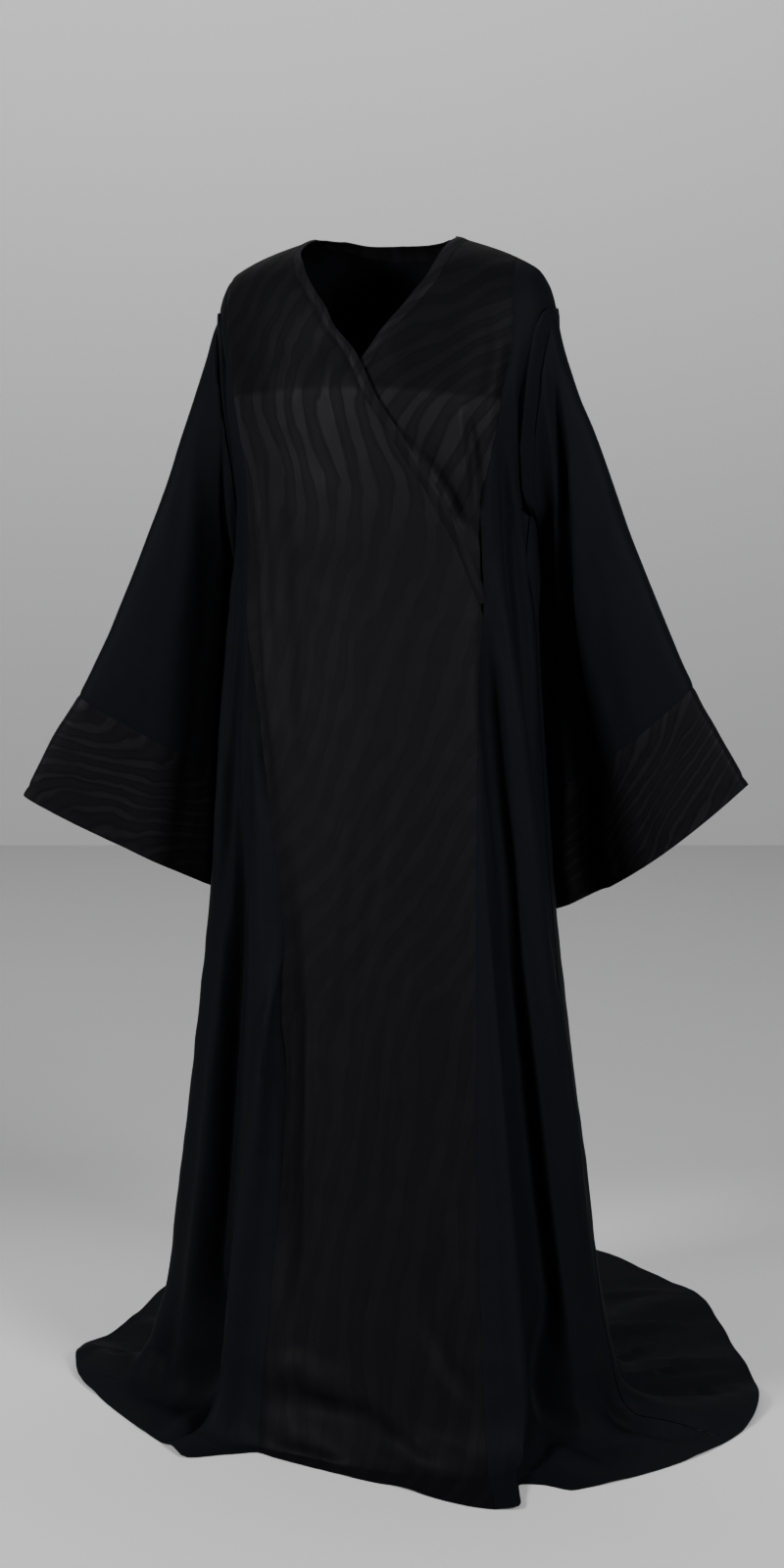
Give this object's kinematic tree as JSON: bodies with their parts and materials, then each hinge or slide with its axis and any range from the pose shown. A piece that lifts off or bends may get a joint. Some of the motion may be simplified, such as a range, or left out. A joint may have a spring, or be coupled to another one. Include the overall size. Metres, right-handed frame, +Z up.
{
  "type": "abaya cloak",
  "caption": "Full-length black crossover abaya cloak with wide flared sleeves, deep striped satin cuffs and front panel, and a hem that pools on the floor.",
  "frame": {"origin": "middle of the shoulder line, where the wearer holds the garment", "axes": "+Z up, +X towards the wearer's left, -Y the way the front faces"},
  "size_m": [0.9381, 0.9188, 1.4748],
  "materials": {
    "striped_satin": "soft sheen with woven tone-on-tone stripes",
    "matte_crepe": "matt, fine grain"
  },
  "bodies": {
    "root": {"front_right_upper": "striped_satin", "front_right_lower": "striped_satin", "front_left": "striped_satin", "side_front_right": "matte_crepe", "side_front_left": "matte_crepe", "back": "matte_crepe", "neck_band_right": "striped_satin", "neck_band_left": "striped_satin", "neck_band_back": "striped_satin", "sleeve_left": "matte_crepe", "sleeve_right": "matte_crepe", "cuff_left": "striped_satin", "cuff_right": "striped_satin"}
  },
  "joints": []
}
